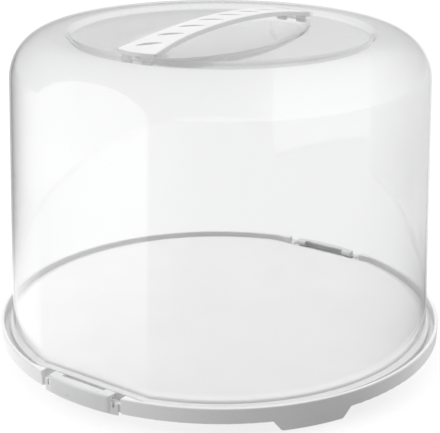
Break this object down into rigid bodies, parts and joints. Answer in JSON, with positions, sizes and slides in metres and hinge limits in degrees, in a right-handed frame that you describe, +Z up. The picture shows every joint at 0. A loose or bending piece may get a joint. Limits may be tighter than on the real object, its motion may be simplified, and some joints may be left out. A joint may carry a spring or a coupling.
{
  "type": "cake carrier",
  "caption": "Tall round cake carrier: white base tray on feet, clear hood opening on a rear clip hinge, front snap clip and bow carry handle.",
  "frame": {"origin": "bottom centre of the carrier, on the floor plane under the feet", "axes": "+Z up; the front clip faces -Y and the hinge is at +Y; +X to the right seen from the front"},
  "size_m": [0.35, 0.35, 0.2546],
  "materials": {
    "base_white": "satin white moulded plastic",
    "hood_clear": "glossy clear moulded plastic, slightly milky",
    "handle_white": "satin white moulded plastic",
    "clip_white": "semi-gloss white moulded plastic"
  },
  "bodies": {
    "base": {"base_tray": "base_white"},
    "rear_clip": {"rear_clip": "clip_white"},
    "hood": {"hood": "hood_clear", "carry_handle": "handle_white"},
    "front_clip": {"front_clip": "clip_white"}
  },
  "joints": [
    {"name": "lid_lift", "type": "slide", "parent": "base", "child": "rear_clip", "axis": [0, 0, 1], "range_m": [0, 0.25]},
    {"name": "lid_hinge", "type": "hinge", "parent": "rear_clip", "child": "hood", "pos_m": [0, 0.1659, 0.0178], "axis": [-1, 0, 0], "range_deg": [0, 95]},
    {"name": "front_clip_hinge", "type": "hinge", "parent": "hood", "child": "front_clip", "pos_m": [0, -0.1659, 0.0178], "axis": [-1, 0, 0], "range_deg": [0, 100]}
  ]
}
